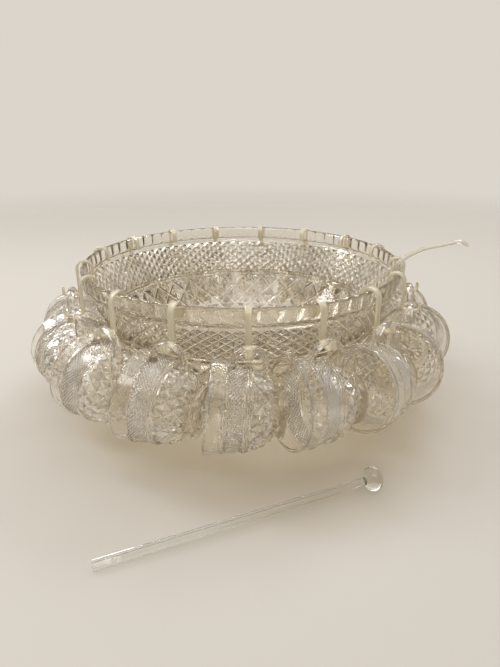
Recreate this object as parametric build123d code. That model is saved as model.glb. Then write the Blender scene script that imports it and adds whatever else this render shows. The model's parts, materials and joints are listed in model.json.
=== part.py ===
from build123d import *
from math import asin, atan2, cos, degrees, hypot, radians, sin, sqrt, tan
import os

# Pressed-glass punch bowl with cups hung round its rim on clear hooks, a ladle and a stirrer.
# Millimetres. The table is the plane z = 0, the bowl stands on it about the Z axis, and -Y is the front.
# Azimuths are counted in degrees from the front, anticlockwise seen from above.

# ---- Bowl ----
bowl_radius = 165.0  # outside of the rim
bowl_height = 150.0
bowl_wall = 6.0
rim_band = 15.6  # rim edge down to the upper bead
fine_band = 42.0  # upper bead down to the lower bead
band_taper = 21.5  # the lower bead stands this much inside the rim
body_bulge = 10.0  # how far the lower body bows out from a straight cone
bead_height = 4.4
bead_proud = 1.4
bead_crest = 1.89  # the lower bead's crest stands this much outside its radius
band_foot = 0.98  # and the fine band's lower edge this much
band_head = 0.42  # its upper edge stands this much inside the upper bead's foot
foot_radius = 62.0
foot_wall = 8.0
foot_height = 8.0
foot_flare = 2.0
foot_recess = 5.0
floor_thickness = 9.0
floor_round = 28.0  # inside radius where the floor turns up into the body
base_height = 36.0  # the bowl's base is a piece of its own up to here

# ---- Cups ----
cup_count = 17
cup_height = 64.0
cup_wall = 3.6
lip_radius = 39.5
lip_band = 13.0  # plain band under the lip
lip_flare = 1.8  # the upper ring stands this much inside the lip
fine_cup_band = 15.0  # fine diamonds
ring_height = 2.0  # ring above the fine diamonds
double_ring_height = 4.5
ring_proud = 0.8
shoulder_radius = 34.8  # at the double ring
cup_foot_radius = 22.5
cup_foot_height = 3.5
cup_neck = 2.5  # the neck above the foot stands this much inside it
cup_bulge = 3.4  # bow of the tapered lower body
cup_floor_thickness = 9.0
cup_floor_radius = 17.0

# ---- Cup handle ----
handle_hole = 11.0  # radius of the round finger hole
handle_thickness = 5.5  # in the plane of the arch
handle_width = 7.0
handle_stand = 1.8  # centre of the arch outside the cup's body
handle_above_centre = 4.6  # the arch stands this much nearer the lip than the cup's centre of mass

# ---- Hooks ----
hook_width = 5.8
hook_thickness = 2.4
hook_mouth = 13.0  # gap between the legs that straddle the rim
hook_inner_leg = 13.0  # below the rim's top edge
seat_depth = 32.0  # cup seat below the rim's top edge
seat_corner = 3.4
hook_lip = 8.0  # end of the hook above the cup seat

# ---- Ladle ----
ladle_radius = 36.0  # of the dipper's opening
ladle_depth = 30.0
ladle_wall = 2.4
ladle_shank = 5.2  # diameter
shank_slope = 43.0  # degrees above the table
dipper_set = 25.0  # degrees between the shank and the dipper's own axis
shank_bend = 58.0
grip_slope = 15.0
grip_length = 43.0
tip_slope = -35.0
tip_length = 8.0
tip_bend = 6.0
bend_outside_rim = 13.0
ladle_place = 3.5  # hooks round from the first

# ---- Stirrer ----
stirrer_length = 237.0
stirrer_end_radius = 4.1
stirrer_neck_radius = 3.3
button_radius = 10.2
button_length = 16.4
stirrer_x = -99.8  # cut end, on the table
stirrer_y = -281.0
stirrer_turn = 23.0  # degrees from +X

# ---- Layout and clearances ----
front_azimuth = 2.5  # azimuth of the first hook
seat_clearance = 0.3  # between pieces that rest on one another
cup_clearance = 1.6  # between a hung cup and the bowl beside it

pitch = 360.0 / cup_count
rim_middle = bowl_radius - bowl_wall / 2
bead_two_z = bowl_height - rim_band - fine_band
bead_one_z = bowl_height - rim_band
bead_two_radius = bowl_radius - band_taper
bead_one_radius = bowl_radius - bead_proud
floor_z = foot_recess + floor_thickness


def revolved(edges):
    """Turn a closed outline in (radius, z) about the Z axis."""
    return revolve(Plane.XZ * make_face(edges), Axis.Z)


def bow_centre(low, high, bulge):
    """Centre and radius of the arc from low to high that bows outwards by bulge."""
    chord = hypot(high[0] - low[0], high[1] - low[1])
    radius = (chord**2 / 4 + bulge**2) / (2 * bulge)
    along = ((high[0] - low[0]) / chord, (high[1] - low[1]) / chord)
    back = radius - bulge
    centre = ((low[0] + high[0]) / 2 - along[1] * back, (low[1] + high[1]) / 2 + along[0] * back)
    return centre, radius


def bow(low, high, bulge):
    """Arc from low to high that bows outwards by bulge."""
    (x, z), radius = bow_centre(low, high, bulge)
    middle = ((low[0] + high[0]) / 2 - x, (low[1] + high[1]) / 2 - z)
    reach = radius / hypot(*middle)
    return ThreePointArc(low, (x + middle[0] * reach, z + middle[1] * reach), high)


# ---- Bowl ----
foot_top = (foot_radius - foot_flare, foot_height)
body_top = (bead_two_radius, bead_two_z - bead_height / 2)
body_centre, body_radius = bow_centre(foot_top, body_top, body_bulge)
body_inside = body_radius - bowl_wall


def bowl():
    """The whole bowl: foot ring, bowed body, two beads and a rounded rim, with a hollow foot."""
    edge = bowl_wall / 2
    band_low = (bead_two_radius + band_foot, bead_two_z + bead_height / 2)
    band_high = (bead_one_radius - band_head, bead_one_z - bead_height / 2)
    rim_low = (bead_one_radius, bead_one_z + bead_height / 2)
    rim_high = (bowl_radius, bowl_height - edge)
    inside_high = (bowl_radius - bowl_wall, bowl_height - edge)
    inside_band = (bead_one_radius - bowl_wall, bead_one_z)
    inside_body_z = body_top[1]
    inside_body = (body_centre[0] + sqrt(body_inside**2 - (inside_body_z - body_centre[1]) ** 2), inside_body_z)
    floor_edge = (body_centre[0] + sqrt(body_inside**2 - (floor_z - body_centre[1]) ** 2), floor_z)
    turn_low = asin((floor_z - body_centre[1]) / body_inside)
    turn_high = asin((inside_body_z - body_centre[1]) / body_inside)
    half = (turn_low + turn_high) / 2
    inside_middle = (body_centre[0] + body_inside * cos(half), body_centre[1] + body_inside * sin(half))
    recess_edge = foot_radius - foot_wall
    outline = [
        Polyline((0, foot_recess), (recess_edge, foot_recess), (recess_edge, 0), (foot_radius, 0), foot_top),
        bow(foot_top, body_top, body_bulge),
        ThreePointArc(body_top, (bead_two_radius + bead_crest, bead_two_z), band_low),
        Line(band_low, band_high),
        ThreePointArc(band_high, (bowl_radius, bead_one_z), rim_low),
        Line(rim_low, rim_high),
        ThreePointArc(rim_high, (rim_middle, bowl_height), inside_high),
        Polyline(inside_high, inside_band, inside_body),
        ThreePointArc(inside_body, inside_middle, floor_edge),
        Polyline(floor_edge, (0, floor_z), (0, foot_recess)),
    ]
    profile = make_face(outline)
    corner = profile.vertices().sort_by_distance((floor_edge[0], floor_edge[1], 0))[0]
    profile = fillet(corner, floor_round)
    return revolve(Plane.XZ * profile, Axis.Z)


def bowl_pieces():
    """The bowl parted level into its base, its bowed body and the band above its lower bead."""
    low_cut = Plane.XY.offset(base_height)
    high_cut = Plane.XY.offset(body_top[1])
    whole = bowl()
    upper = split(whole, low_cut, keep=Keep.TOP)
    return {
        "bowl_base": split(whole, low_cut, keep=Keep.BOTTOM),
        "bowl_body": split(upper, high_cut, keep=Keep.BOTTOM),
        "bowl_band": split(upper, high_cut, keep=Keep.TOP),
    }


# ---- Cup, upright on its own foot, with its handle towards +X ----
ring_z = cup_height - lip_band - ring_height
double_ring_top = ring_z - fine_cup_band
double_ring_z = double_ring_top - double_ring_height
belt_radius = lip_radius - lip_flare


def cup_outline():
    """Edges of the cup's outside, from the foot's centre up to the lip, in (radius, z)."""
    neck = (cup_foot_radius - cup_neck, cup_foot_height + cup_neck)
    foot_edge = (cup_foot_radius, cup_foot_height)
    shoulder = (shoulder_radius, double_ring_z)
    ring_out = shoulder_radius + ring_proud
    belt_out = belt_radius + ring_proud
    return [
        Polyline((0, 0), (cup_foot_radius, 0), foot_edge, neck),
        bow(neck, shoulder, cup_bulge),
        Polyline(shoulder, (ring_out, double_ring_z), (ring_out, double_ring_top),
                 (shoulder_radius, double_ring_top), (belt_radius, ring_z), (belt_out, ring_z),
                 (belt_out, ring_z + ring_height), (belt_radius, ring_z + ring_height),
                 (lip_radius, cup_height - cup_wall / 2)),
    ]


def cup_hollow():
    """The space inside a cup, run on past its lip."""
    lip_inside = lip_radius - cup_wall
    shoulder_inside = (shoulder_radius - cup_wall, double_ring_z)
    floor_edge = (cup_floor_radius, cup_floor_thickness)
    above = cup_height + cup_wall
    return revolved([
        Polyline((0, cup_floor_thickness), floor_edge),
        bow(floor_edge, shoulder_inside, cup_bulge),
        Polyline(shoulder_inside, (belt_radius - cup_wall, ring_z), (lip_inside, cup_height - cup_wall / 2),
                 (lip_inside, above), (0, above), (0, cup_floor_thickness)),
    ])


def cup_body():
    """The cup's outside as a solid, with a rounded lip."""
    low_lip = cup_height - cup_wall / 2
    lip_middle = lip_radius - cup_wall / 2
    return revolved(cup_outline() + [
        ThreePointArc((lip_radius, low_lip), (lip_middle, cup_height), (lip_radius - cup_wall, low_lip)),
        Polyline((lip_radius - cup_wall, low_lip), (0, low_lip), (0, 0)),
    ])


def cup_handle(height):
    """The round arch of the handle, with its legs run into the cup's body."""
    arch = handle_hole + handle_thickness / 2
    stand = belt_radius + handle_stand
    root = cup_foot_radius - cup_neck
    path = Curve() + [
        Line((root, 0, height - arch), (stand, 0, height - arch)),
        ThreePointArc((stand, 0, height - arch), (stand + arch, 0, height), (stand, 0, height + arch)),
        Line((stand, 0, height + arch), (root, 0, height + arch)),
    ]
    start = Plane(origin=(root, 0, height - arch), x_dir=(0, 1, 0), z_dir=(1, 0, 0))
    return sweep(start * Ellipse(handle_width / 2, handle_thickness / 2), path=path.wires()[0])


hollow = cup_hollow()
plain_cup = cup_body() - hollow
handle_height = plain_cup.center(CenterOf.MASS).Z + handle_above_centre
cup_solid = cup_body() + cup_handle(handle_height) - hollow
handle_centre = Vector(belt_radius + handle_stand, 0, handle_height)
cup_mass_centre = cup_solid.center(CenterOf.MASS)
hang_tilt = degrees(atan2(handle_centre.Z - cup_mass_centre.Z, handle_centre.X - cup_mass_centre.X))

# The strip's flat seat is a chord of the round handle hole, so the hole's top clears it by the chord's sagitta.
seat_sagitta = handle_hole - sqrt(handle_hole**2 - (hook_width / 2) ** 2)
seat_z = bowl_height - seat_depth
swing_z = seat_z + seat_sagitta + seat_clearance - handle_hole
cup_axis_z = swing_z - handle_centre.X


def least_hang_radius():
    """Radius at which the rings and lip of a hung cup just clear the bowl's body and its lower bead."""
    bead_radius = bead_two_radius + bead_crest
    least = bowl_radius + hook_thickness + handle_width / 2
    rings = [(lip_radius, cup_height), (belt_radius + ring_proud, ring_z + ring_height),
             (shoulder_radius + ring_proud, double_ring_top)]
    for radius, height in rings:
        reach = radius + cup_clearance
        aside = height - handle_centre.Z
        axis_z = cup_axis_z + aside * sin(radians(hang_tilt))
        falls_back = bead_radius - sqrt(bead_radius**2 - aside**2)
        beside_body = sqrt((body_radius + reach) ** 2 - (body_centre[1] - axis_z) ** 2) + body_centre[0]
        beside_bead = bead_radius + sqrt(max(reach**2 - (bead_two_z - axis_z) ** 2, 0))
        least = max(least, beside_body - falls_back, beside_bead - falls_back)
    return least


hang_radius = least_hang_radius()


def hung_cup(azimuth):
    """A cup hanging from its hook, its mouth turned clockwise and its centre of mass under the handle."""
    turn = Pos(0, -hang_radius, swing_z) * Rot(0, -90 + hang_tilt, 0) * Pos(-handle_centre)
    return Rot(0, 0, azimuth) * turn * cup_solid


# ---- Hook, at the front of the rim ----
hook_rock_z = bowl_height + seat_clearance - hook_mouth / 2


def hook_path():
    """Middle line of the strip in (distance outside the rim's middle, z)."""
    leg = (hook_mouth + hook_thickness) / 2
    seat = hang_radius - rim_middle
    lip = 2 * seat - leg
    seat_line = seat_z - hook_thickness / 2
    arch = [
        Line((-leg, bowl_height - hook_inner_leg), (-leg, hook_rock_z)),
        ThreePointArc((-leg, hook_rock_z), (0, hook_rock_z + leg), (leg, hook_rock_z)),
    ]
    curl = FilletPolyline((leg, hook_rock_z), (leg, seat_line), (lip, seat_line), (lip, seat_line + hook_lip),
                          radius=seat_corner)
    return Curve() + arch + curl


def hook_solid():
    """The strip, swept along its middle line in the plane through the bowl's axis."""
    upright = Plane(origin=(0, -rim_middle, 0), x_dir=(0, -1, 0), z_dir=(-1, 0, 0))
    path = (upright * hook_path()).wires()[0]
    start = Plane(origin=path @ 0, x_dir=(1, 0, 0), z_dir=path % 0)
    return sweep(start * Rectangle(hook_width, hook_thickness), path=path, transition=Transition.RIGHT)


# ---- Ladle, in the plane y = 0 with its handle towards +X ----
ladle_azimuth = front_azimuth + ladle_place * pitch


def ladle():
    """A dipper resting on the bowl's floor, its shank leaning on the rim and its grip bent over."""
    slope = radians(shank_slope)
    axis = radians(shank_slope + dipper_set)
    sphere = (ladle_radius**2 + ladle_depth**2) / (2 * ladle_depth)
    off_rim = bowl_wall / 2 + ladle_shank / 2 + seat_clearance
    line_z = bowl_height - bowl_wall / 2 + off_rim / cos(slope)
    centre_z = floor_z + seat_clearance + sphere
    mouth_z = centre_z - (sphere - ladle_depth) * sin(axis)
    edge_z = mouth_z - (ladle_radius - ladle_wall / 2) * cos(axis)
    edge_x = rim_middle - (line_z - edge_z) / tan(slope)
    mouth_x = edge_x - (ladle_radius - ladle_wall / 2) * sin(axis)
    centre_x = mouth_x + (sphere - ladle_depth) * cos(axis)

    bend_x = rim_middle + bend_outside_rim
    bend = (bend_x, 0, line_z + bend_outside_rim * tan(slope))
    grip = radians(grip_slope)
    grip_end = (bend[0] + grip_length * cos(grip), 0, bend[2] + grip_length * sin(grip))
    tip = radians(tip_slope)
    tip_end = (grip_end[0] + tip_length * cos(tip), 0, grip_end[2] + tip_length * sin(tip))
    line = FilletPolyline((edge_x, 0, edge_z), bend, grip_end, tip_end, radius=[shank_bend, tip_bend])
    path = line.wires()[0]
    shank = sweep(Plane(origin=path @ 0, z_dir=path % 0) * Circle(ladle_shank / 2), path=path)

    mouth = Plane(origin=(mouth_x, 0, mouth_z), x_dir=(0, 1, 0), z_dir=(cos(axis), 0, sin(axis)))
    cover = mouth * Pos(0, 0, sphere) * Box(4 * sphere, 4 * sphere, 2 * sphere)
    inside = Pos(centre_x, 0, centre_z) * Sphere(sphere - ladle_wall)
    dipper = Pos(centre_x, 0, centre_z) * Sphere(sphere) - cover
    return dipper + shank - inside


# ---- Stirrer, with its cut end at the origin and its axis along +X ----
def stirrer():
    """A tapered glass rod with a flattened ball, lying on the table on its end and its ball."""
    ball_x = stirrer_length - button_length / 2
    half = button_length / 2
    neck_x = ball_x - half * sqrt(1 - (stirrer_neck_radius / button_radius) ** 2)
    quarter = sqrt(0.5)
    outline = [
        Polyline((ball_x + half, 0), (0, 0), (0, stirrer_end_radius), (neck_x, stirrer_neck_radius)),
        Spline((neck_x, stirrer_neck_radius), (ball_x - half * quarter, button_radius * quarter),
               (ball_x, button_radius), (ball_x + half * quarter, button_radius * quarter),
               (ball_x + half, 0)),
    ]
    rod = revolve(make_face(outline), Axis.X)
    rise = degrees(asin((button_radius - stirrer_end_radius) / ball_x))
    lying = Pos(stirrer_x, stirrer_y, 0) * Rot(0, 0, stirrer_turn) * Rot(0, -rise, 0) * Pos(0, 0, stirrer_end_radius)
    return lying * rod


def nodes():
    """Every piece, by its name."""
    pieces = bowl_pieces()
    hook = hook_solid()
    for index in range(cup_count):
        azimuth = front_azimuth + index * pitch
        pieces[f"hook_{index + 1:02d}"] = Rot(0, 0, azimuth) * hook
        pieces[f"cup_{index + 1:02d}"] = hung_cup(azimuth)
    pieces["ladle"] = Rot(0, 0, ladle_azimuth - 90) * ladle()
    pieces["stirrer"] = stirrer()
    return pieces


os.makedirs("parts", exist_ok=True)
for name, piece in nodes().items():
    export_step(piece, f"parts/{name}.step")
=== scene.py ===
import json
from math import atan2, cos, exp, hypot, pi, radians, sin, sqrt, tan, tau

import bpy
import numpy as np
from mathutils import Matrix, Vector
from mathutils.kdtree import KDTree

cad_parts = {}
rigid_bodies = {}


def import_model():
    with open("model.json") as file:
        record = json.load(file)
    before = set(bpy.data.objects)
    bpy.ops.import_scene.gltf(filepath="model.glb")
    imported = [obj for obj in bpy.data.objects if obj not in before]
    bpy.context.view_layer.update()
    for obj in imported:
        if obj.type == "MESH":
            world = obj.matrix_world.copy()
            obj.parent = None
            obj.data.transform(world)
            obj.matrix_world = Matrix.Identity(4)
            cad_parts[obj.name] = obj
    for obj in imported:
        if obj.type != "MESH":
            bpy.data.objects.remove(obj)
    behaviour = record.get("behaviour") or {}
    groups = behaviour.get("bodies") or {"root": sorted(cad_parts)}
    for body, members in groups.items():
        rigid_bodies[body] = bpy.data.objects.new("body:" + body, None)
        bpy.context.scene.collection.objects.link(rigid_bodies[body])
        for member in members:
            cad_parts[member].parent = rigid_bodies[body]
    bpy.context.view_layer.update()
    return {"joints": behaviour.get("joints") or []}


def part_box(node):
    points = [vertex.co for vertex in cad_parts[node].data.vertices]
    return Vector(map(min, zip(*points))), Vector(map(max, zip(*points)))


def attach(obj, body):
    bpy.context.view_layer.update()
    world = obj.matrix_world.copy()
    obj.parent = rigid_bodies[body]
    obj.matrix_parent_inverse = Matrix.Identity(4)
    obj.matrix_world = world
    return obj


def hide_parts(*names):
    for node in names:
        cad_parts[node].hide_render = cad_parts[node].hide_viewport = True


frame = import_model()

# Pressed-glass punch bowl with hanging cups, hooks, a ladle and a stirrer. Metres, in the frame's own
# axes: the table is z = 0, the bowl stands about the Z axis, and -Y is the front.

# ---- Places from the frame ----
bowl_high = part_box("bowl_band")[1]
bowl_radius = bowl_high.x
bowl_height = bowl_high.z
swings = {joint["child"]: joint for joint in frame["joints"] if joint["name"].endswith("_swing")}
hang_radius = hypot(*swings["cup_01"]["pos_m"][:2])


def azimuth_of(cup):
    """Angle of a cup round the bowl, from the front, anticlockwise seen from above."""
    axis = swings[cup]["axis"]
    return atan2(axis[0], -axis[1])


# ---- Bowl ----
bowl_wall = 0.006
rim_band = 0.0156
fine_band = 0.042
band_taper = 0.0215
body_bulge = 0.010
bead_height = 0.0044
bead_proud = 0.0014
bead_crest = 0.00189  # outside the lower bead's radius
band_foot = 0.00098
band_head = 0.00042
foot_radius = 0.062
foot_wall = 0.008
foot_height = 0.008
foot_flare = 0.002
foot_recess = 0.005
floor_thickness = 0.009
floor_bend_height = 0.0098
floor_bend_slope = 0.75  # inwards for each step down, to the bend's corner
floor_bend_reach = 0.018
floor_rings = (0.028, 0.010)
inside_ends = (0.995, 0.16)  # shares of the body's outline that its inside follows
underside_round = 0.0009
flute_count = 72
flute_depth = 0.0016
flute_start = (  # outside the bead, above it, and the share of the flutes' depth
    (0.0002, 0.0008, 0),
    (0.0004, 0.0016, 0.55),
    (0.0006, 0.0024, 0.85),
    (0.0008, 0.0036, 1),
)
flute_end = (  # degrees over the rim, and the share of the flutes' depth
    (15, 1),
    (30, 0.95),
    (45, 0.8),
    (60, 0.55),
    (75, 0.25),
    (90, 0),
)
flute_steps = 6
rim_inside = (22, 45, 68, 90)  # degrees from the top of the rim, inwards
fine_count = 84
fine_rows = 4
fine_depth = 0.0021
fine_gap = 0.0028
fine_margin = 0.8  # of that gap, between a bead and a plain ring
large_count = 36
large_depth = 0.0026
large_gap = 0.0022
large_ratio = 1.05  # height to width of a large diamond
star_rays = 24
star_depth = 0.0016
star_start = 0.004
star_reach = 0.046
star_border = 0.050

# ---- Cups ----
cup_height = 0.064
cup_wall = 0.0036
lip_radius = 0.0395
lip_band = 0.013
lip_flare = 0.0018
fine_cup_band = 0.015
ring_height = 0.002
double_ring_height = 0.0045
ring_proud = 0.0008
shoulder_radius = 0.0348
cup_foot_radius = 0.0225
cup_foot_height = 0.0035
cup_neck = 0.0025
cup_bulge = 0.0034
cup_floor_thickness = 0.009
cup_floor_radius = 0.017
cup_floor_corner = 0.0006
cup_floor_bend = 0.005
cup_floor_ring = 0.006
cup_underside_round = 0.0006
cup_fine_count = 64
cup_fine_rows = 5
cup_fine_depth = 0.0013
cup_fine_gap = 0.0007
cup_fine_margin = 0.7  # of that gap, between a ring and a plain one
cup_large_count = 16
cup_large_depth = 0.0024
cup_large_gap = 0.0006
cup_large_ratio = 1.1
cup_star_rays = 16
cup_star_depth = 0.0018
cup_star_start = 0.002
cup_star_reach = 0.0185
cup_star_border = 0.0200
handle_hole = 0.011
handle_thickness = 0.0055
handle_width = 0.007
handle_stand = 0.0018
handle_height = 0.03324
handle_root_flare = 0.35
handle_flare_reach = 0.003
root_depth = 0.6  # of the cup's wall, from its outside to the ends of the handle
hang_tilt = radians(6.73)

# ---- Hooks ----
hook_width = 0.0058
hook_thickness = 0.0024
hook_mouth = 0.013
hook_inner_leg = 0.013
hook_straight = 0.002  # of each leg, below the bend over the rim
seat_depth = 0.032
seat_corner = 0.0034
hook_lip = 0.008
hook_rounding = 0.0006
hook_edge = 0.0013  # raised along both sides of the strip
hook_channel = 0.0005
hook_end_size = 0.75  # the strip narrows at its very ends

# ---- Ladle ----
ladle_radius = 0.036
ladle_depth = 0.030
ladle_wall = 0.0024
ladle_shank = 0.0052
ladle_brim_round = 0.4  # of the wall, the height of the brim's round
ladle_brim_turn = 0.02
pole_turn = 0.06  # from the middle of the ladle's ball to its first ring
shank_slope = radians(43)
dipper_set = radians(25)
shank_bend = 0.058
grip_slope = radians(15)
grip_length = 0.043
tip_slope = radians(-35)
tip_length = 0.008
tip_bend = 0.006
bend_outside_rim = 0.013
shank_flat = 0.92  # height to width of the shank's section
shank_taper = 0.28  # of its thickness, lost by its tip
tip_sizes = (0.55, 0.85, 1)  # of the last sections, from the tip inwards

# ---- Stirrer ----
stirrer_length = 0.237
stirrer_end_radius = 0.0041
stirrer_neck_radius = 0.0033
button_radius = 0.0102
button_length = 0.0164
stirrer_turn = radians(23)
stirrer_sides = 8
stirrer_bevel = 0.0005
stirrer_flat_start = 0.004
stirrer_flat_end = 0.002  # before the neck
stirrer_flat_fade = 0.010
stirrer_neck_rings = 0.008
stirrer_pole_turn = 0.05  # from the end of the ball to its last ring

# ---- Fit and fineness ----
seat_clearance = 0.0003
smooth_count = 168
cup_smooth_count = 128
ladle_count = 72
handle_count = 20
shank_count = 20
stirrer_count = 48
sharp_angle = radians(17)
same_point = 1e-6

# ---- Materials ----
cut_shadow = (0.85, 0.82, 0.76)  # the colour of cut glass's shadow
valley_share = 0.16  # of the way from a valley up to a point
valley_frost = 0.30
valley_depth = 0.0004

# ---- Stage, light and camera ----
backdrop = (0.708, 0.665, 0.597)
floor_colour = (0.52, 0.489, 0.442)
floor_reach = 6.0
floor_fade = (0.55, 1.9)
room_colour = (0.15, 0.13, 0.10)  # beside and behind the camera
sky = (  # height from straight down, 0, to straight up, 1, and the colour there
    (0.0, backdrop),
    (0.57, backdrop),
    (0.66, (0.10, 0.088, 0.07)),
    (0.80, (0.13, 0.118, 0.10)),
    (0.90, (1.15, 1.12, 1.08)),
    (1.0, (1.3, 1.28, 1.24)),
)
room_edge = (0.45, -0.15)  # along Y, from behind the object to beside it
ceiling_edge = (0.60, 0.85)  # along Z
light_target = (0, 0, 0.08)
camera_place = (0.0086, -0.578, 0.296)
camera_down = radians(21.95)
camera_lens = 30.2

# ---- Sizes that follow from these ----
rim_middle = bowl_radius - bowl_wall / 2
bead_one_z = bowl_height - rim_band
bead_two_z = bead_one_z - fine_band
bead_one_radius = bowl_radius - bead_proud
bead_two_radius = bowl_radius - band_taper
floor_z = foot_recess + floor_thickness


# ---- Curves in (radius, z) ----
def line_points(low, high, steps):
    """Points from low to high, both ends counted."""
    return [Vector(low).lerp(Vector(high), index / steps) for index in range(steps + 1)]


def arc_points(low, high, bulge, steps):
    """Points of the arc from low to high that bows to the right of that direction by bulge."""
    low, high = Vector(low), Vector(high)
    chord = (high - low).length
    radius = (chord**2 / 4 + bulge**2) / (2 * bulge)
    along = (high - low) / chord
    right = Vector((along.y, -along.x))
    centre = (low + high) / 2 - right * (radius - bulge)
    start = atan2(low.y - centre.y, low.x - centre.x)
    sweep = (atan2(high.y - centre.y, high.x - centre.x) - start + pi) % tau - pi
    turns = [start + sweep * index / steps for index in range(steps + 1)]
    return [centre + radius * Vector((cos(turn), sin(turn))) for turn in turns]


def corner_points(before, corner, after, steps):
    """Points of a smooth bend from before to after that is drawn towards the corner."""
    before, corner, after = Vector(before), Vector(corner), Vector(after)
    shares = [index / steps for index in range(steps + 1)]
    return [(1 - t) ** 2 * before + 2 * t * (1 - t) * corner + t**2 * after for t in shares]


class Outline:
    """A curve in (radius, z), with its points and outward normals by distance along it."""

    def __init__(self, points):
        self.points = np.array([tuple(point) for point in points])
        steps = np.hypot(*np.diff(self.points, axis=0).T)
        self.reach = np.concatenate([[0], np.cumsum(steps)])
        self.length = self.reach[-1]

    def at(self, distance):
        return Vector([np.interp(distance, self.reach, self.points[:, axis]) for axis in (0, 1)])

    def normal(self, distance):
        nudge = self.length / 200
        along = (self.at(distance + nudge) - self.at(distance - nudge)).normalized()
        return Vector((along.y, -along.x))

    def levels(self, start, end, count, ratio):
        """Distances of the half rows of diamonds whose height keeps its ratio to their width."""
        spots = np.linspace(start, end, 400)
        half_rows = [2 * count / (ratio * tau * self.at(spot).x) for spot in spots]
        steps = np.diff(spots) * (np.array(half_rows[1:]) + np.array(half_rows[:-1])) / 2
        total = np.concatenate([[0], np.cumsum(steps)])
        rows = max(2, round(total[-1]))
        return [float(np.interp(total[-1] * row / rows, total, spots)) for row in range(rows + 1)]


# ---- Skins: closed surfaces made of rings about the Z axis ----
class Skin:
    def __init__(self):
        self.points = []
        self.faces = []
        self.edge = None
        self.valleys = []  # numbers of the points that lie in a valley between facets

    def ring(self, count, radius, height, join=True):
        """A ring of points, whose radius and height are numbers or depend on the point's number."""
        first = len(self.points)
        for index in range(count):
            turn = tau * index / count
            across = radius(index) if callable(radius) else radius
            up = height(index) if callable(height) else height
            self.points.append((across * cos(turn), across * sin(turn), up))
        ring = list(range(first, first + count))
        if join and self.edge:
            self.bridge(self.edge, ring)
        self.edge = ring
        return ring

    def rings(self, count, outline):
        """One ring for each (radius, z) of the outline."""
        for radius, height in outline:
            self.ring(count, radius, height)

    def bridge(self, low, high):
        """Join two rings, which may have different numbers of points."""
        lows, highs = len(low), len(high)
        i = j = 0
        while i < lows or j < highs:
            ahead = (i + 1) * highs - (j + 1) * lows
            a, b = low[i % lows], low[(i + 1) % lows]
            c, d = high[(j + 1) % highs], high[j % highs]
            if ahead == 0:
                self.faces.append((a, b, c, d))
                i, j = i + 1, j + 1
            elif ahead < 0:
                self.faces.append((a, b, d))
                i += 1
            else:
                self.faces.append((a, c, d))
                j += 1

    def close(self, height):
        """Close the end of the surface with a point on the axis."""
        self.points.append((0, 0, height))
        middle = len(self.points) - 1
        for index, point in enumerate(self.edge):
            self.faces.append((point, self.edge[(index + 1) % len(self.edge)], middle))

    def close_start(self, height, count):
        """Close the start of the surface, whose first ring has that many points."""
        self.points.append((0, 0, height))
        middle = len(self.points) - 1
        for index in range(count):
            self.faces.append(((index + 1) % count, index, middle))

    def diamonds(self, outline, levels, count, depth):
        """A band of pyramids whose points lie on the outline and whose valleys are sunk in it."""
        before = None
        for level, distance in enumerate(levels):
            point, normal = outline.at(distance), outline.normal(distance)
            sunk = point - normal * depth
            ring = self.ring(
                2 * count,
                lambda index: sunk.x if (index + level) % 2 == 0 else point.x,
                lambda index: sunk.y if (index + level) % 2 == 0 else point.y,
                join=before is None,
            )
            self.valleys += ring[level % 2::2]
            if before:
                self.facets(before, ring, level - 1)
            before = ring

    def facets(self, low, high, level):
        """Triangles between two half rows, split along the valleys."""
        for index, a in enumerate(low):
            after = (index + 1) % len(low)
            b, c, d = low[after], high[after], high[index]
            if (index + level) % 2 == 0:
                self.faces += [(a, b, c), (a, c, d)]
            else:
                self.faces += [(a, b, d), (b, c, d)]

    def flutes(self, radius, height, share):
        """A ring of the rim band, hollowed between its flutes by a share of their depth."""
        def across(index):
            spread = 2 * (index % flute_steps) / flute_steps - 1
            return radius - flute_depth * share * spread**2
        self.ring(flute_count * flute_steps, across, height)

    def star(self, rays, start, reach, height, depth, steps=3):
        """Rays cut up into a flat underside, from the axis out to reach."""
        for step in range(steps + 1):
            share = step / steps
            radius = start + (reach - start) * share
            cut = depth * (1 - share**2)
            self.ring(2 * rays, radius, lambda index, cut=cut: height + (cut if index % 2 == 0 else 0))

    def mesh(self, name):
        data = mesh_of(name, self.points, self.faces)
        mark_valleys(data, self)
        return data


def mark_valleys(data, skin):
    """Number the points of a mesh that holds the skin's for its glass: 0 in the valleys, 1 elsewhere."""
    tree = KDTree(len(skin.valleys))
    for number, index in enumerate(skin.valleys):
        tree.insert(skin.points[index], number)
    tree.balance()
    if "rise" in data.attributes:
        data.attributes.remove(data.attributes["rise"])
    rise = data.attributes.new("rise", "FLOAT", "POINT")
    for vertex in data.vertices:
        away = tree.find(vertex.co)[2]
        rise.data[vertex.index].value = 0.0 if away < same_point else 1.0


def finish_mesh(data):
    """Smooth shading, broken at the edges of facets."""
    data.validate()
    data.polygons.foreach_set("use_smooth", [True] * len(data.polygons))
    data.set_sharp_from_angle(angle=sharp_angle)
    data.update()


def along_path(path, index):
    """Direction of a path at one of its points."""
    before, after = path[max(index - 1, 0)], path[min(index + 1, len(path) - 1)]
    return (after - before).normalized()


def tube(name, path, section):
    """Mesh of a sweep with closed ends: section(index) gives the points of each ring, in the row frame."""
    points, faces = [], []
    rings = [section(index) for index in range(len(path))]
    count = len(rings[0])
    for ring in rings:
        points += [tuple(point) for point in ring]
    for row in range(len(rings) - 1):
        for index in range(count):
            after = (index + 1) % count
            low, high = row * count, (row + 1) * count
            faces.append((low + index, low + after, high + after, high + index))
    faces.append(tuple(reversed(range(count))))
    faces.append(tuple(range((len(rings) - 1) * count, len(rings) * count)))
    return mesh_of(name, points, faces)


def mesh_of(name, points, faces):
    data = bpy.data.meshes.new(name)
    data.from_pydata(points, [], faces)
    finish_mesh(data)
    return data


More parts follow.
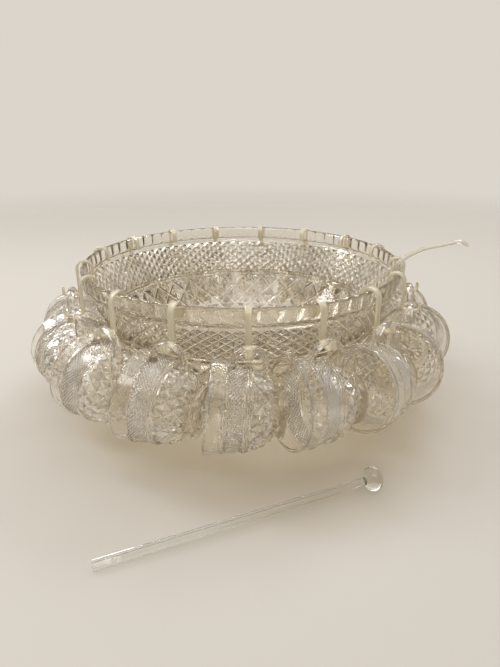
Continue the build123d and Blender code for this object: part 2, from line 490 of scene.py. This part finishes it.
def in_scene(name, data):
    """A Blender object that shows this data."""
    thing = bpy.data.objects.new(name, data)
    bpy.context.scene.collection.objects.link(thing)
    return thing


def piece(name, data, material, place=None):
    """A piece of the punch bowl set, in the row frame."""
    thing = in_scene(name, data)
    if not data.materials:
        data.materials.append(material)
    if place is not None:
        thing.matrix_world = place
    return thing


def united(name, base, extra):
    """The union of two closed meshes as one mesh."""
    first = in_scene(name + "_base", base)
    second = in_scene(name + "_extra", extra)
    join = first.modifiers.new("join", "BOOLEAN")
    join.operation = "UNION"
    join.solver = "EXACT"
    join.object = second
    bpy.context.view_layer.update()
    graph = bpy.context.evaluated_depsgraph_get()
    data = bpy.data.meshes.new_from_object(first.evaluated_get(graph))
    data.name = name
    for thing in (first, second):
        bpy.data.objects.remove(thing)
    finish_mesh(data)
    return data


# ---- Materials ----
def empty_tree(owner):
    """The cleared node tree of a material or a world."""
    owner.use_nodes = True
    owner.node_tree.nodes.clear()
    return owner.node_tree


def set_inputs(node, values):
    for name, value in values.items():
        node.inputs[name].default_value = value


def eased(tree, source, values):
    """A smooth step on a value from another node; returns its output."""
    step = tree.nodes.new("ShaderNodeMapRange")
    step.interpolation_type = "SMOOTHSTEP"
    set_inputs(step, values)
    tree.links.new(source, step.inputs["Value"])
    return step.outputs["Result"]


def mixed(tree, share, first, second):
    """One shader mixed into another by a share; returns the mix's output."""
    mix = tree.nodes.new("ShaderNodeMixShader")
    for number, source in enumerate((share, first, second)):
        tree.links.new(source, mix.inputs[number])
    return mix.outputs[0]


def clear_material(name, tint, roughness, ior, clear, absorb, density, shadow, waves, cut=False):
    """Clear glass or plastic: a slightly wavy moulded surface over a body that absorbs a little light.

    clear is the share of its light that passes, waves is the scale and depth of its waves, and shadow
    is the colour of its shadow. In cut glass the valleys between the facets are rounded and a little
    frosted.
    """
    material = bpy.data.materials.new(name)
    tree = empty_tree(material)
    link = tree.links.new
    output = tree.nodes.new("ShaderNodeOutputMaterial")
    body = tree.nodes.new("ShaderNodeBsdfPrincipled")
    set_inputs(body, {"Base Color": (*tint, 1), "Roughness": roughness, "IOR": ior})
    set_inputs(body, {"Transmission Weight": clear})
    place = tree.nodes.new("ShaderNodeTexCoord")
    noise = tree.nodes.new("ShaderNodeTexNoise")
    set_inputs(noise, {"Scale": waves[0], "Detail": 2.0})
    link(place.outputs["Object"], noise.inputs["Vector"])
    bump = tree.nodes.new("ShaderNodeBump")
    set_inputs(bump, {"Strength": 1.0, "Distance": waves[1]})
    link(noise.outputs["Fac"], bump.inputs["Height"])
    link(bump.outputs["Normal"], body.inputs["Normal"])
    if cut:
        rise = tree.nodes.new("ShaderNodeAttribute")
        rise.attribute_name = "rise"
        frost = {"From Max": valley_share, "To Min": valley_frost, "To Max": roughness}
        link(eased(tree, rise.outputs["Fac"], frost), body.inputs["Roughness"])
        groove = tree.nodes.new("ShaderNodeBump")
        set_inputs(groove, {"Strength": 1.0, "Distance": valley_depth})
        link(eased(tree, rise.outputs["Fac"], {"From Max": 2 * valley_share}), groove.inputs["Height"])
        link(groove.outputs["Normal"], bump.inputs["Normal"])
    path = tree.nodes.new("ShaderNodeLightPath")
    passing = tree.nodes.new("ShaderNodeMath")
    passing.operation = "MAXIMUM"
    link(path.outputs["Is Shadow Ray"], passing.inputs[0])
    link(path.outputs["Is Diffuse Ray"], passing.inputs[1])
    through = tree.nodes.new("ShaderNodeBsdfTransparent")
    set_inputs(through, {"Color": (*shadow, 1)})
    link(mixed(tree, passing.outputs[0], body.outputs[0], through.outputs[0]), output.inputs["Surface"])
    inside = tree.nodes.new("ShaderNodeVolumeAbsorption")
    set_inputs(inside, {"Color": (*absorb, 1), "Density": density})
    link(inside.outputs[0], output.inputs["Volume"])
    return material


bowl_glass = clear_material(
    "bowl_glass", tint=(0.988, 0.978, 0.958), roughness=0.01, ior=1.53, clear=0.98,
    absorb=(0.80, 0.72, 0.54), density=38.0, shadow=cut_shadow, waves=(110.0, 0.0004), cut=True)
cup_glass = clear_material(
    "cup_glass", tint=(0.985, 0.97, 0.94), roughness=0.01, ior=1.53, clear=0.94,
    absorb=(0.80, 0.70, 0.48), density=18.0, shadow=cut_shadow, waves=(140.0, 0.0002), cut=True)
hook_plastic = clear_material(
    "hook_plastic", tint=(0.97, 0.93, 0.80), roughness=0.14, ior=1.49, clear=0.69,
    absorb=(0.85, 0.77, 0.45), density=30.0, shadow=(0.93, 0.91, 0.84), waves=(200.0, 0.0001))
ladle_plastic = clear_material(
    "ladle_plastic", tint=(0.97, 0.94, 0.85), roughness=0.12, ior=1.49, clear=0.78,
    absorb=(0.84, 0.76, 0.50), density=30.0, shadow=(0.93, 0.91, 0.85), waves=(160.0, 0.0002))
stirrer_glass = clear_material(
    "stirrer_glass", tint=(0.98, 0.98, 0.97), roughness=0.005, ior=1.53, clear=0.98,
    absorb=(0.75, 0.75, 0.65), density=20.0, shadow=(0.90, 0.90, 0.88), waves=(60.0, 0.0001))


# ---- Bowl ----
def bowl_skin():
    skin = Skin()
    recess_edge = foot_radius - foot_wall
    foot_top = (foot_radius - foot_flare, foot_height)
    body_top = (bead_two_radius, bead_two_z - bead_height / 2)
    crest_two = bead_two_radius + bead_crest

    # Underside: a star in the hollow of the foot, then the foot ring.
    bend = underside_round
    skin.star(star_rays, star_start, star_reach, foot_recess, star_depth)
    skin.rings(smooth_count, [
        (star_border, foot_recess),
        *corner_points((recess_edge - bend, foot_recess), (recess_edge, foot_recess),
                       (recess_edge, foot_recess - bend), 4),
        *corner_points((recess_edge, bend), (recess_edge, 0), (recess_edge + bend, 0), 4),
        *corner_points((foot_radius - bend, 0), (foot_radius, 0), (foot_radius - 0.1 * bend, bend), 4),
        foot_top,
    ])

    # Lower body with its large diamonds.
    body = Outline(arc_points(foot_top, body_top, body_bulge, 80))
    start, end = large_gap, body.length - large_gap
    skin.rings(smooth_count, [body.at(large_gap / 2)])
    skin.diamonds(body, body.levels(start, end, large_count, large_ratio), large_count, large_depth)
    skin.rings(smooth_count, [body.at(body.length - large_gap / 2), body_top])

    # Lower bead, fine diamonds, upper bead.
    band_low = (bead_two_radius + band_foot, bead_two_z + bead_height / 2)
    band_high = (bead_one_radius - band_head, bead_one_z - bead_height / 2)
    rim_low = (bead_one_radius, bead_one_z + bead_height / 2)
    lower_bulge = crest_two - (body_top[0] + band_low[0]) / 2
    skin.rings(smooth_count, arc_points(body_top, band_low, lower_bulge, 8)[1:])
    band = Outline(line_points(band_low, band_high, 2))
    half_row = (band.length - 2 * fine_gap) / (2 * fine_rows)
    levels = [fine_gap + half_row * row for row in range(2 * fine_rows + 1)]
    skin.rings(smooth_count, [band.at(fine_gap * fine_margin)])
    skin.diamonds(band, levels, fine_count, fine_depth)
    skin.rings(smooth_count, [band.at(band.length - fine_gap * fine_margin), band_high])
    upper_bulge = bowl_radius - (band_high[0] + rim_low[0]) / 2
    skin.rings(smooth_count, arc_points(band_high, rim_low, upper_bulge, 8)[1:])

    # Fluted rim band, dying out over the rounded rim.
    edge = bowl_wall / 2
    rim_high = bowl_height - edge
    for out, up, share in flute_start:
        skin.flutes(bead_one_radius + out, rim_low[1] + up, share)
    skin.flutes(bowl_radius, rim_high, 1)
    for turn, share in flute_end:
        slope = radians(turn)
        skin.flutes(rim_middle + edge * cos(slope), rim_high + edge * sin(slope), share)
    inner = [(rim_middle - edge * sin(radians(turn)), rim_high + edge * cos(radians(turn)))
             for turn in rim_inside]

    # Smooth inside: rim, band, body and floor.
    inside = [body.at(body.length * share) - body.normal(body.length * share) * bowl_wall
              for share in np.linspace(*inside_ends, 16)]
    inside = [spot for spot in inside if spot.y > floor_z + floor_bend_height]
    corner = (inside[-1].x - (inside[-1].y - floor_z) * floor_bend_slope, floor_z)
    skin.rings(smooth_count, [
        *inner,
        (bead_one_radius - bowl_wall, bead_one_z),
        *inside,
        *corner_points(inside[-1], corner, (corner[0] - floor_bend_reach, floor_z), 7)[1:],
        *[(radius, floor_z) for radius in floor_rings],
    ])
    skin.close(floor_z)
    skin.close_start(foot_recess + star_depth, 2 * star_rays)
    return skin


def build_bowl():
    bowl = piece("glass_bowl", bowl_skin().mesh("glass_bowl"), bowl_glass)
    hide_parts("bowl_base", "bowl_body", "bowl_band")
    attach(bowl, "bowl")


# ---- Cups ----
def cup_outside():
    """Heights and radii of the cup's outside, for what is joined to it."""
    ring_z = cup_height - lip_band - ring_height
    double_top = ring_z - fine_cup_band
    double_low = double_top - double_ring_height
    belt = lip_radius - lip_flare
    neck = (cup_foot_radius - cup_neck, cup_foot_height + cup_neck)
    return ring_z, double_top, double_low, belt, neck


def cup_skin():
    skin = Skin()
    ring_z, double_top, double_low, belt, neck = cup_outside()
    shoulder = (shoulder_radius, double_low)

    # Underside: a star inside the foot.
    bend = cup_underside_round
    skin.star(cup_star_rays, cup_star_start, cup_star_reach, 0, cup_star_depth)
    skin.rings(cup_smooth_count, [
        (cup_star_border, 0),
        *corner_points((cup_foot_radius - bend, 0), (cup_foot_radius, 0), (cup_foot_radius, bend), 4),
        *corner_points((cup_foot_radius, cup_foot_height - bend), (cup_foot_radius, cup_foot_height),
                       neck, 4),
    ])

    # Body with its large diamonds, and the double ring above it.
    body = Outline(arc_points(neck, shoulder, cup_bulge, 60))
    skin.rings(cup_smooth_count, [body.at(cup_large_gap / 2)])
    levels = body.levels(cup_large_gap, body.length - cup_large_gap, cup_large_count, cup_large_ratio)
    skin.diamonds(body, levels, cup_large_count, cup_large_depth)
    skin.rings(cup_smooth_count, [body.at(body.length - cup_large_gap / 2), shoulder])

    between = (shoulder_radius, (double_low + double_top) / 2)
    skin.rings(cup_smooth_count, arc_points(shoulder, between, ring_proud, 5)[1:])
    skin.rings(cup_smooth_count, arc_points(between, (shoulder_radius, double_top), ring_proud, 5)[1:])

    # Fine diamonds, ring and lip.
    band = Outline(line_points((shoulder_radius, double_top), (belt, ring_z), 2))
    half_row = (band.length - 2 * cup_fine_gap) / (2 * cup_fine_rows)
    levels = [cup_fine_gap + half_row * row for row in range(2 * cup_fine_rows + 1)]
    skin.rings(cup_smooth_count, [band.at(cup_fine_gap * cup_fine_margin)])
    skin.diamonds(band, levels, cup_fine_count, cup_fine_depth)
    skin.rings(cup_smooth_count, [band.at(band.length - cup_fine_gap * cup_fine_margin), (belt, ring_z)])
    ring_top = (belt, ring_z + ring_height)
    skin.rings(cup_smooth_count, arc_points((belt, ring_z), ring_top, ring_proud, 5)[1:])
    lip = cup_wall / 2
    low_lip = cup_height - lip
    skin.rings(cup_smooth_count, line_points(ring_top, (lip_radius, low_lip), 3)[1:])
    skin.rings(cup_smooth_count, [
        (lip_radius - lip + lip * cos(radians(turn)), low_lip + lip * sin(radians(turn)))
        for turn in range(20, 181, 20)
    ])

    # Smooth inside, whose last steps become a bend into the floor.
    inside_low = (cup_floor_radius, cup_floor_thickness)
    inside_body = arc_points(inside_low, (shoulder_radius - cup_wall, double_low), cup_bulge, 14)[::-1]
    skin.rings(cup_smooth_count, [
        (belt - cup_wall, ring_z),
        *inside_body[:-4],
        *corner_points(inside_body[-4], (cup_floor_radius + cup_floor_corner, cup_floor_thickness),
                       (cup_floor_radius - cup_floor_bend, cup_floor_thickness), 6),
        (cup_floor_ring, cup_floor_thickness),
    ])
    skin.close(cup_floor_thickness)
    skin.close_start(cup_star_depth, 2 * cup_star_rays)
    return skin


def root_radius(height):
    """How far from the cup's axis the handle ends in its wall, at a height."""
    ring_z, double_top, double_low, belt, neck = cup_outside()
    body = arc_points(neck, (shoulder_radius, double_low), cup_bulge, 20)
    outline = [*body, (shoulder_radius, double_top), (belt, ring_z), (lip_radius, cup_height)]
    outside = float(np.interp(height, [spot[1] for spot in outline], [spot[0] for spot in outline]))
    return outside - cup_wall * root_depth


def handle_mesh():
    """The round arch with flared roots that end inside the cup's wall."""
    arch = handle_hole + handle_thickness / 2
    stand = lip_radius - lip_flare + handle_stand
    lows = handle_height - arch
    highs = handle_height + arch
    path = [Vector((x, 0, lows)) for x in np.linspace(root_radius(lows), stand, 5)[:-1]]
    path += [Vector((stand + arch * sin(turn), 0, handle_height - arch * cos(turn)))
             for turn in np.linspace(0, pi, 33)]
    path += [Vector((x, 0, highs)) for x in np.linspace(stand, root_radius(highs), 4)[1:]]

    def section(index):
        here = path[index]
        side = Vector((0, 1, 0))
        out = along_path(path, index).cross(side)
        off_wall = max(here.x - (root_radius(here.z) + cup_wall * root_depth), 0)
        grow = 1 + handle_root_flare * exp(-off_wall / handle_flare_reach)
        ring = []
        for step in range(handle_count):
            turn = tau * step / handle_count
            across, up = cos(turn) * handle_width / 2, sin(turn) * handle_thickness / 2
            spot = here + (side * across + out * up) * grow
            if index in (0, len(path) - 1):
                spot.x = sqrt(max(root_radius(spot.z) ** 2 - spot.y**2, 0))
            ring.append(spot)
        return ring

    return tube("cup_handle", path, section)


def hung(cup):
    """Where a cup hangs: its handle over the hook's seat, its mouth turned clockwise and a little up."""
    joint = swings[cup]
    centre = Vector((lip_radius - lip_flare + handle_stand, 0, handle_height))
    return (Matrix.Translation(Vector(joint["pos_m"])) @ Matrix.Rotation(azimuth_of(cup), 4, "Z")
            @ Matrix.Rotation(hang_tilt - pi / 2, 4, "Y") @ Matrix.Translation(-centre))


def build_cups():
    skin = cup_skin()
    data = united("glass_cup", skin.mesh("cup_shell"), handle_mesh())
    mark_valleys(data, skin)
    for cup in sorted(swings):
        glass = piece("glass_" + cup, data, cup_glass, hung(cup))
        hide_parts(cup)
        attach(glass, cup)


# ---- Hooks ----
def rounded_path(corners, radii, steps=8):
    """A line through the corners, with an arc of the given radius at each inner corner."""
    path = [Vector(corners[0])]
    for index in range(1, len(corners) - 1):
        before, corner, after = (Vector(corners[index + offset]) for offset in (-1, 0, 1))
        back, ahead = (before - corner).normalized(), (after - corner).normalized()
        half = back.angle(ahead) / 2
        reach = radii[index - 1] / tan(half)
        inwards = (back + ahead).normalized()
        centre = corner + inwards * (radii[index - 1] / sin(half))
        start, end = corner + back * reach - centre, corner + ahead * reach - centre
        axis, sweep = start.cross(end), start.angle(end)
        turns = [sweep * step / steps for step in range(steps + 1)]
        path += [centre + Matrix.Rotation(turn, 3, axis) @ start for turn in turns]
    path.append(Vector(corners[-1]))
    return path


def hook_mesh():
    """The strip in the plane x = 0 at the front: over the rim, down, and out under a cup's handle."""
    leg = (hook_mouth + hook_thickness) / 2
    rock_z = bowl_height + seat_clearance - hook_mouth / 2
    seat = hang_radius - rim_middle
    seat_line = bowl_height - seat_depth - hook_thickness / 2
    lip = 2 * seat - leg
    leg_top = rock_z - hook_straight
    path = [Vector((0, rim_middle - leg, z)) for z in (bowl_height - hook_inner_leg, leg_top)]
    path += [Vector((0, rim_middle - leg * cos(turn), rock_z + leg * sin(turn)))
             for turn in np.linspace(0, pi, 25)]
    path += rounded_path([(0, rim_middle + leg, leg_top), (0, rim_middle + leg, seat_line),
                          (0, rim_middle + lip, seat_line), (0, rim_middle + lip, seat_line + hook_lip)],
                         [seat_corner, seat_corner])
    path = [Vector((0, -spot.y, spot.z)) for spot in path]
    across, thick = hook_width / 2, hook_thickness / 2
    corner = [(across - hook_rounding * (1 - cos(turn)), thick - hook_rounding * (1 - sin(turn)))
              for turn in np.linspace(0, pi / 2, 4)]
    inner = across - hook_edge
    side_points = [*corner, (inner, thick), (inner - hook_channel, thick - hook_channel)]
    upper = side_points + [(-x, y) for x, y in reversed(side_points)]
    section_points = upper + [(-x, -y) for x, y in upper]

    def section(index):
        out = along_path(path, index).cross(Vector((1, 0, 0)))
        size = hook_end_size if index in (0, len(path) - 1) else 1
        return [path[index] + Vector((x * size, 0, 0)) + out * (y * size) for x, y in section_points]

    return tube("hook", path, section)


def build_hooks():
    data = hook_mesh()
    for cup in sorted(swings):
        hook = swings[cup]["parent"]
        strip = piece("plastic_" + hook, data, hook_plastic, Matrix.Rotation(azimuth_of(cup), 4, "Z"))
        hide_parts(hook)
        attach(strip, hook)


# ---- Ladle ----
def ladle_mesh():
    """The dipper's shell, and its shank that leans on the rim, in the plane y = 0 towards +X."""
    axis = shank_slope + dipper_set
    sphere = (ladle_radius**2 + ladle_depth**2) / (2 * ladle_depth)
    off_rim = bowl_wall / 2 + ladle_shank / 2 + seat_clearance
    line_z = bowl_height - bowl_wall / 2 + off_rim / cos(shank_slope)
    centre_z = floor_z + seat_clearance + sphere
    mouth_z = centre_z - (sphere - ladle_depth) * sin(axis)
    edge_z = mouth_z - (ladle_radius - ladle_wall / 2) * cos(axis)
    edge_x = rim_middle - (line_z - edge_z) / tan(shank_slope)
    mouth_x = edge_x - (ladle_radius - ladle_wall / 2) * sin(axis)
    centre_x = mouth_x + (sphere - ladle_depth) * cos(axis)

    skin = Skin()
    brim = atan2(ladle_radius, sphere - ladle_depth)
    ball = sphere - ladle_wall
    outer = [(sphere * sin(turn), -sphere * cos(turn)) for turn in np.linspace(pole_turn, brim, 18)]
    inner = [(ball * sin(turn), -ball * cos(turn))
             for turn in np.linspace(brim - ladle_brim_turn, pole_turn, 18)]
    brim_middle = (Vector(outer[-1]) + Vector(inner[0])) / 2
    brim_top = (brim_middle.x, brim_middle.y + ladle_wall * ladle_brim_round)
    skin.rings(ladle_count, [*outer, brim_top, *inner])
    skin.close(-ball)
    skin.close_start(-sphere, ladle_count)
    dipper = mesh_of("dipper", skin.points, skin.faces)
    lean = Matrix.Rotation(pi / 2 - axis, 4, "Y")
    dipper.transform(Matrix.Translation((centre_x, 0, centre_z)) @ lean)

    bend_x = rim_middle + bend_outside_rim
    bend = (bend_x, 0, line_z + bend_outside_rim * tan(shank_slope))
    grip_end = (bend[0] + grip_length * cos(grip_slope), 0, bend[2] + grip_length * sin(grip_slope))
    tip_end = (grip_end[0] + tip_length * cos(tip_slope), 0, grip_end[2] + tip_length * sin(tip_slope))
    corners = rounded_path([(edge_x, 0, edge_z), bend, grip_end, tip_end], [shank_bend, tip_bend], 14)
    reach = [0.0]
    for before, after in zip(corners, corners[1:]):
        reach.append(reach[-1] + (after - before).length)
    spots = np.linspace(0, reach[-1], 90)
    path = [Vector([float(np.interp(spot, reach, [corner[axis_number] for corner in corners]))
                    for axis_number in range(3)]) for spot in spots]

    def section(index):
        side = Vector((0, 1, 0))
        out = along_path(path, index).cross(side)
        share = index / (len(path) - 1)
        to_tip = len(path) - 1 - index
        thick = ladle_shank / 2 * (1 - shank_taper * share**2) * tip_sizes[min(to_tip, 2)]
        turns = [tau * step / shank_count for step in range(shank_count)]
        return [path[index] + (side * cos(turn) + out * (sin(turn) * shank_flat)) * thick
                for turn in turns]

    return united("ladle", dipper, tube("shank", path, section))


def build_ladle():
    azimuth = (azimuth_of("cup_04") + azimuth_of("cup_05")) / 2
    data = ladle_mesh()
    data.transform(Matrix.Rotation(azimuth - pi / 2, 4, "Z"))
    ladle = piece("plastic_ladle", data, ladle_plastic)
    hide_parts("ladle")
    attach(ladle, "ladle")


# ---- Stirrer ----
def stirrer_mesh():
    """A tapered rod with flat sides and a flattened ball, along +X from its cut end."""
    ball_x = stirrer_length - button_length / 2
    half = button_length / 2
    neck_x = ball_x - half * sqrt(1 - (stirrer_neck_radius / button_radius) ** 2)
    fade_end = neck_x - stirrer_flat_end
    steps = [
        0,
        stirrer_bevel,
        *np.linspace(stirrer_flat_start, fade_end - stirrer_flat_fade, 12),
        *np.linspace(neck_x - stirrer_neck_rings, neck_x, 4),
    ]
    outline = [(x, stirrer_end_radius + (stirrer_neck_radius - stirrer_end_radius) * x / neck_x,
                min(1, max(0, (fade_end - x) / stirrer_flat_fade))) for x in steps]
    outline[0] = (0, outline[0][1] - stirrer_bevel, 1)
    start = atan2(stirrer_neck_radius / button_radius, (neck_x - ball_x) / half)
    for turn in np.linspace(start, stirrer_pole_turn, 26)[1:]:
        outline.append((ball_x + half * cos(turn), button_radius * sin(turn), 0))

    def section(index):
        x, radius, flat = outline[index]
        ring = []
        for step in range(stirrer_count):
            turn = tau * step / stirrer_count
            side = (turn + pi / stirrer_sides) % (tau / stirrer_sides) - pi / stirrer_sides
            across = radius * (1 - flat + flat * cos(pi / stirrer_sides) / cos(side))
            ring.append(Vector((x, across * sin(turn), -across * cos(turn))))
        return ring

    return tube("stirrer", outline, section)


def build_stirrer():
    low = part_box("stirrer")[0]
    turned = Vector((sin(stirrer_turn), cos(stirrer_turn), 0)) * stirrer_end_radius
    end = Vector((low.x, low.y, stirrer_end_radius)) + turned
    rise = atan2(button_radius - stirrer_end_radius, stirrer_length - button_length / 2)
    data = stirrer_mesh()
    lean = Matrix.Rotation(stirrer_turn, 4, "Z") @ Matrix.Rotation(-rise, 4, "Y")
    data.transform(Matrix.Translation(end) @ lean)
    stirrer = piece("glass_stirrer", data, stirrer_glass)
    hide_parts("stirrer")
    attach(stirrer, "stirrer")


# ---- Stage, light and camera ----
def build_floor():
    """A pale table that fades into the backdrop's colour far from the object."""
    data = bpy.data.meshes.new("floor")
    corners = [(x * floor_reach, y * floor_reach, 0) for x, y in ((-1, -1), (1, -1), (1, 1), (-1, 1))]
    data.from_pydata(corners, [], [(0, 1, 2, 3)])
    floor = in_scene("floor", data)
    material = bpy.data.materials.new("floor")
    tree = empty_tree(material)
    link = tree.links.new
    output = tree.nodes.new("ShaderNodeOutputMaterial")
    body = tree.nodes.new("ShaderNodeBsdfPrincipled")
    set_inputs(body, {"Base Color": (*floor_colour, 1), "Roughness": 0.6, "Specular IOR Level": 0.2})
    clear = tree.nodes.new("ShaderNodeBsdfTransparent")
    place = tree.nodes.new("ShaderNodeTexCoord")
    away = tree.nodes.new("ShaderNodeVectorMath")
    away.operation = "LENGTH"
    link(place.outputs["Object"], away.inputs[0])
    fade = eased(tree, away.outputs["Value"], {"From Min": floor_fade[0], "From Max": floor_fade[1]})
    link(mixed(tree, fade, body.outputs[0], clear.outputs[0]), output.inputs["Surface"])
    data.materials.append(material)


def blended(tree, share):
    """A node that mixes its colour B into its colour A by a share."""
    blend = tree.nodes.new("ShaderNodeMix")
    blend.data_type = "RGBA"
    tree.links.new(share, blend.inputs["Factor"])
    return blend


def build_world():
    """What lights the object: the backdrop low down behind it, a dim belt above, a dim room beside and
    behind the camera, and a bright ceiling. The camera itself sees the backdrop all round."""
    world = bpy.data.worlds.new("studio")
    bpy.context.scene.world = world
    tree = empty_tree(world)
    link = tree.links.new
    output = tree.nodes.new("ShaderNodeOutputWorld")
    place = tree.nodes.new("ShaderNodeTexCoord")
    split = tree.nodes.new("ShaderNodeSeparateXYZ")
    link(place.outputs["Generated"], split.inputs[0])

    height = tree.nodes.new("ShaderNodeMapRange")
    set_inputs(height, {"From Min": -1.0, "From Max": 1.0})
    link(split.outputs["Z"], height.inputs["Value"])
    ramp = tree.nodes.new("ShaderNodeValToRGB")
    ramp.color_ramp.interpolation = "EASE"
    link(height.outputs["Result"], ramp.inputs["Fac"])
    elements = ramp.color_ramp.elements
    while len(elements) < len(sky):
        elements.new(0.5)
    for element, (position, colour) in zip(elements, sky):
        element.position = position
        element.color = (*colour, 1)

    to_room = {"From Min": room_edge[0], "From Max": room_edge[1]}
    room = blended(tree, eased(tree, split.outputs["Y"], to_room))
    room.inputs["B"].default_value = (*room_colour, 1)
    link(ramp.outputs["Color"], room.inputs["A"])
    to_ceiling = {"From Min": ceiling_edge[0], "From Max": ceiling_edge[1]}
    ceiling = blended(tree, eased(tree, split.outputs["Z"], to_ceiling))
    link(room.outputs["Result"], ceiling.inputs["A"])
    link(ramp.outputs["Color"], ceiling.inputs["B"])

    lit = tree.nodes.new("ShaderNodeBackground")
    link(ceiling.outputs["Result"], lit.inputs["Color"])
    seen = tree.nodes.new("ShaderNodeBackground")
    set_inputs(seen, {"Color": (*backdrop, 1), "Strength": 1.0})
    path = tree.nodes.new("ShaderNodeLightPath")
    shown = mixed(tree, path.outputs["Is Camera Ray"], lit.outputs[0], seen.outputs[0])
    link(shown, output.inputs["Surface"])


def area_light(name, place, size, power):
    """A rectangular lamp that faces the object."""
    data = bpy.data.lights.new(name, "AREA")
    data.shape = "RECTANGLE"
    data.size, data.size_y = size
    data.energy = power
    lamp = in_scene(name, data)
    lamp.location = place
    lamp.rotation_euler = (Vector(light_target) - Vector(place)).to_track_quat("-Z", "Y").to_euler()


def build_light():
    """Two windows, which the glass shows as soft lines, and a broad dim fill from the front."""
    area_light("window", (-1.15, 0.30, 1.20), (0.40, 0.95), 14.0)
    area_light("back_window", (0.60, 0.85, 1.25), (0.70, 0.28), 9.0)
    area_light("fill", (-0.25, -1.00, 1.50), (1.60, 0.60), 7.0)


def build_camera():
    data = bpy.data.cameras.new("camera")
    data.lens = camera_lens
    camera = in_scene("camera", data)
    camera.location = camera_place
    camera.rotation_euler = (pi / 2 - camera_down, 0, 0)
    bpy.context.scene.camera = camera


build_camera()
build_bowl()
build_cups()
build_hooks()
build_ladle()
build_stirrer()
build_floor()
build_world()
build_light()

scene = bpy.context.scene
scene.view_settings.view_transform = "Standard"
scene.cycles.max_bounces = 32
scene.cycles.transmission_bounces = 32
scene.cycles.glossy_bounces = 8
scene.cycles.transparent_max_bounces = 64
scene.cycles.caustics_reflective = False
scene.cycles.caustics_refractive = False
